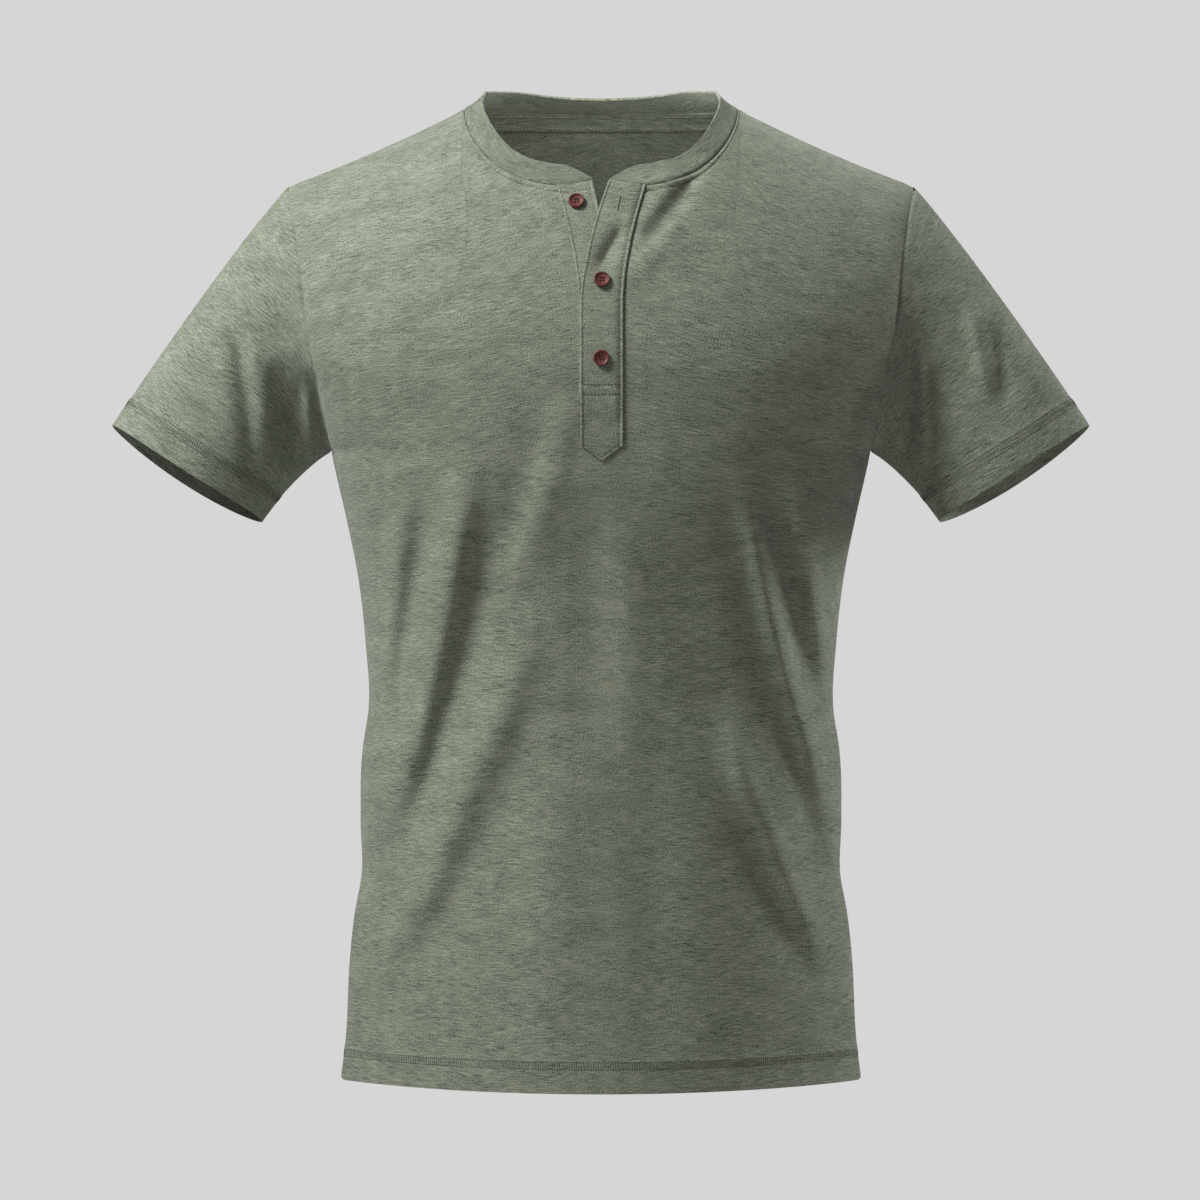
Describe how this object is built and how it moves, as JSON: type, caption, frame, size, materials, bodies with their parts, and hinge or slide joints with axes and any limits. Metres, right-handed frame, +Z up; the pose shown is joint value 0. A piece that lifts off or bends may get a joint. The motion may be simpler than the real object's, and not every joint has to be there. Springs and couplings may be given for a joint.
{
  "type": "short-sleeved henley shirt",
  "caption": "Short-sleeved henley shirt with a narrow neck band and a buttoned placket, hollow and filled out as if worn, its top button undone.",
  "frame": {"origin": "midway between the sides of the neck, level with the foot of the neck band, where the wearer's shoulders carry the shirt", "axes": "+Z up, the front faces -Y, the wearer's left side is at +X"},
  "size_m": [0.7024, 0.252, 0.7148],
  "materials": {
    "jersey": "matt heathered cotton jersey",
    "button": "satin polyester button"
  },
  "bodies": {
    "root": {"back": "jersey", "button_bottom": "button", "button_middle": "button", "button_top": "button", "front": "jersey", "neck_band": "jersey", "neck_tape": "jersey", "placket_over": "jersey", "placket_under": "jersey", "sleeve_left": "jersey", "sleeve_right": "jersey"}
  },
  "joints": []
}
